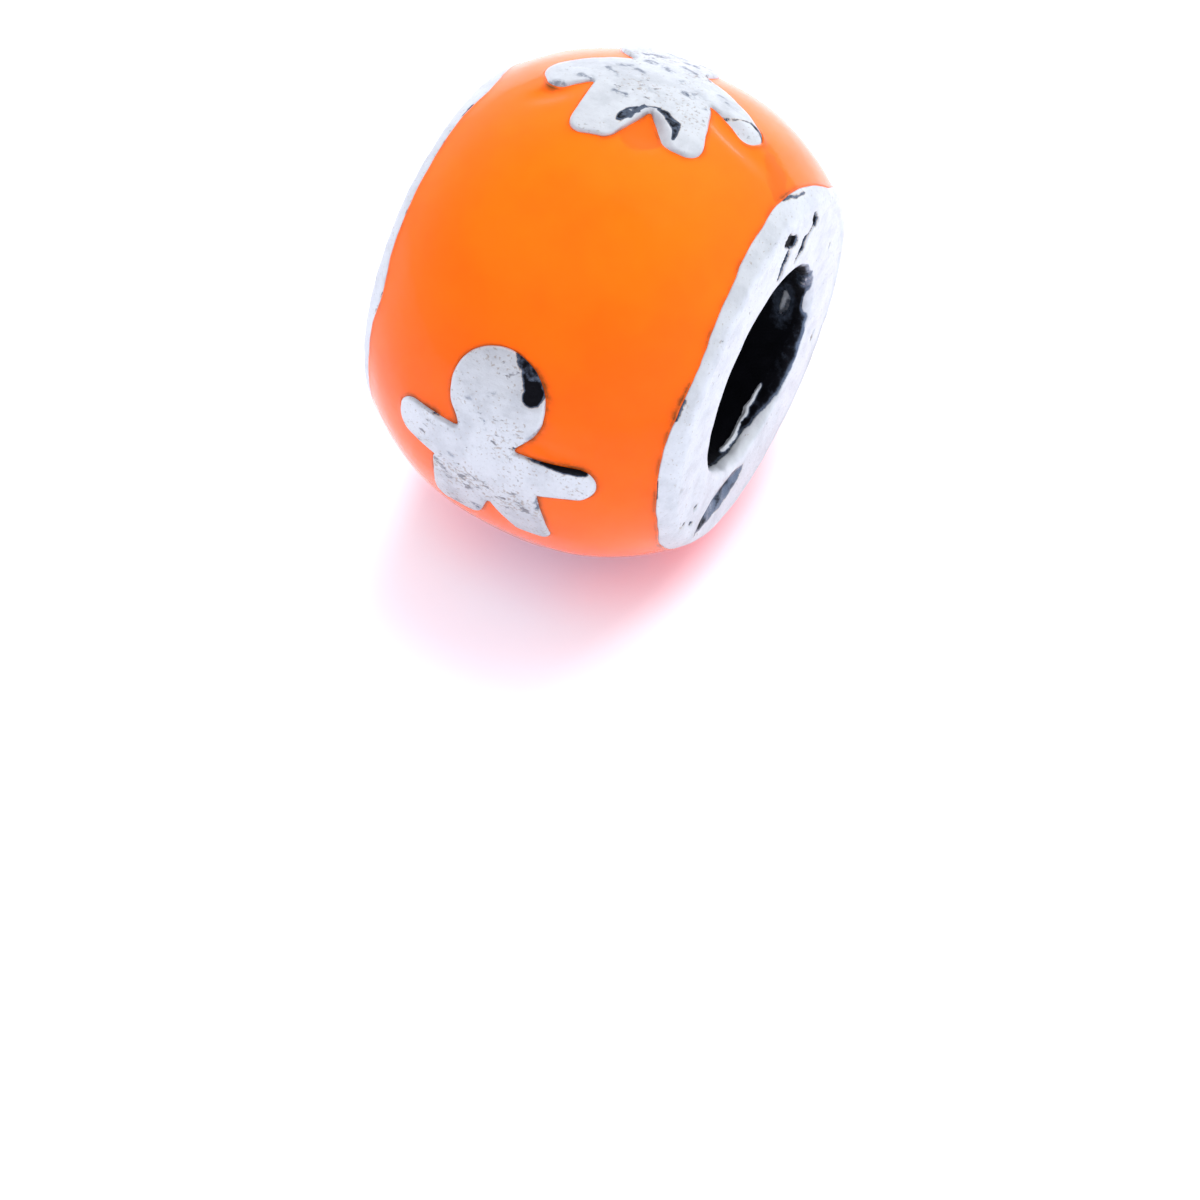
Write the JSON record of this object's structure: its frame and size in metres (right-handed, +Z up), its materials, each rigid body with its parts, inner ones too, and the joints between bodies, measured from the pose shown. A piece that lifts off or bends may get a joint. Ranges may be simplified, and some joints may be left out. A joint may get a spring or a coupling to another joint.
{
  "type": "european charm bead",
  "caption": "Large-hole barrel bead in oxidised cast silver, with raised little figures standing up through a band of glossy orange enamel.",
  "frame": {"origin": "middle of the bore, half way between the two ends", "axes": "+X along the bore, out of the end that the picture shows; +Z up with the bead lying on its barrel"},
  "size_m": [0.0076, 0.0111, 0.0112],
  "materials": {
    "antique_silver": "cast and tumbled silver, oxidised black in the bore, the pits and the corners",
    "orange_enamel": "opaque orange enamel with a wet gloss"
  },
  "bodies": {
    "root": {"silver_body": "antique_silver", "enamel": "orange_enamel"}
  },
  "joints": []
}
